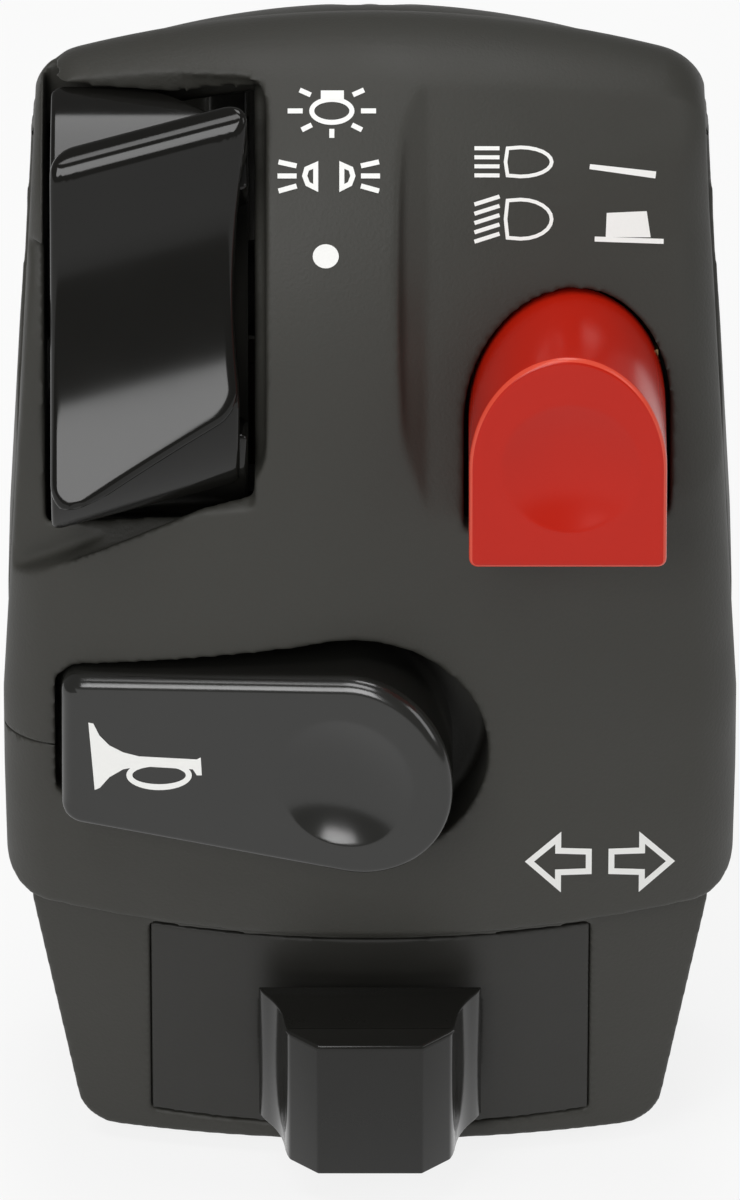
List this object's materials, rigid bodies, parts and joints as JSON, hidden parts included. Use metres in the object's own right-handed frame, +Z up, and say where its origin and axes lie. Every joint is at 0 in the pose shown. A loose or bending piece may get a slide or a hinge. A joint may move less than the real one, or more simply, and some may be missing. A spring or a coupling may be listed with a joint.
{
  "type": "handlebar switch cluster",
  "caption": "Two-shell switch cluster clamped on a handlebar, with a light rocker, an arched dip button, a hinged horn button and a sliding indicator knob that cancels when pushed.",
  "frame": {"origin": "centre of the handlebar clamp, halfway along it", "axes": "X along the handlebar to the rider's right, -Y towards the rider, +Z up"},
  "size_m": [0.0464, 0.052, 0.0794],
  "materials": {
    "shell": "fine-grained dark grey moulding",
    "bezel": "satin black",
    "gloss_black": "polished black",
    "red": "satin red",
    "inner_plastic": "natural moulding",
    "board": "brown laminate",
    "steel": "zinc plated",
    "brass": "bare brass",
    "grommet": "soft black"
  },
  "bodies": {
    "housing": {"front_shell": "shell", "rear_shell": "shell", "chin_housing": "shell", "indicator_bezel": "bezel", "clamp_screws": "steel", "clamp_inserts": "brass", "chin_screws": "steel", "loom_grommet": "grommet", "rocker_pin": "steel", "rocker_contact_plate": "board", "rocker_detent_plate": "inner_plastic", "dip_guide": "inner_plastic", "dip_spring": "steel", "dip_contacts": "brass", "horn_pin": "steel", "horn_spring": "steel", "horn_leaf": "brass", "horn_base": "board", "indicator_body": "inner_plastic", "indicator_contact_plate": "board", "centring_springs": "steel"},
    "rocker": {"light_rocker": "gloss_black", "rocker_wiper": "brass", "rocker_detent_ball": "steel", "rocker_detent_spring": "steel"},
    "dip": {"dip_button": "red", "dip_bridge": "brass"},
    "horn": {"horn_button": "gloss_black", "horn_tip": "brass"},
    "carriage": {"indicator_carriage": "inner_plastic", "indicator_shutter": "bezel", "indicator_wiper": "brass", "cancel_spring": "steel"},
    "knob": {"indicator_knob": "gloss_black"}
  },
  "joints": [
    {"name": "light_rocker", "type": "hinge", "parent": "housing", "child": "rocker", "pos_m": [-0.01375, -0.0143, 0.0063], "axis": [1, 0, 0], "range_deg": [-10, 10]},
    {"name": "dip_press", "type": "slide", "parent": "housing", "child": "dip", "axis": [0, 1, 0], "range_m": [0, 0.0035], "stiffness_N_per_m": 600, "springref_m": -0.003, "deforming": ["dip_spring"]},
    {"name": "horn_press", "type": "hinge", "parent": "housing", "child": "horn", "pos_m": [-0.0172, -0.0214, -0.0209], "axis": [0, 0, 1], "range_deg": [0, 5], "stiffness_Nm_per_rad": 0.2, "springref_deg": -8.59, "deforming": ["horn_spring"]},
    {"name": "indicator_slide", "type": "slide", "parent": "housing", "child": "carriage", "axis": [1, 0, 0], "range_m": [-0.004, 0.004], "stiffness_N_per_m": 300, "deforming": ["centring_springs"]},
    {"name": "indicator_cancel", "type": "slide", "parent": "carriage", "child": "knob", "axis": [0, 0.9511, 0.309], "range_m": [0, 0.0009], "stiffness_N_per_m": 1500, "springref_m": -0.001, "deforming": ["cancel_spring"]}
  ]
}
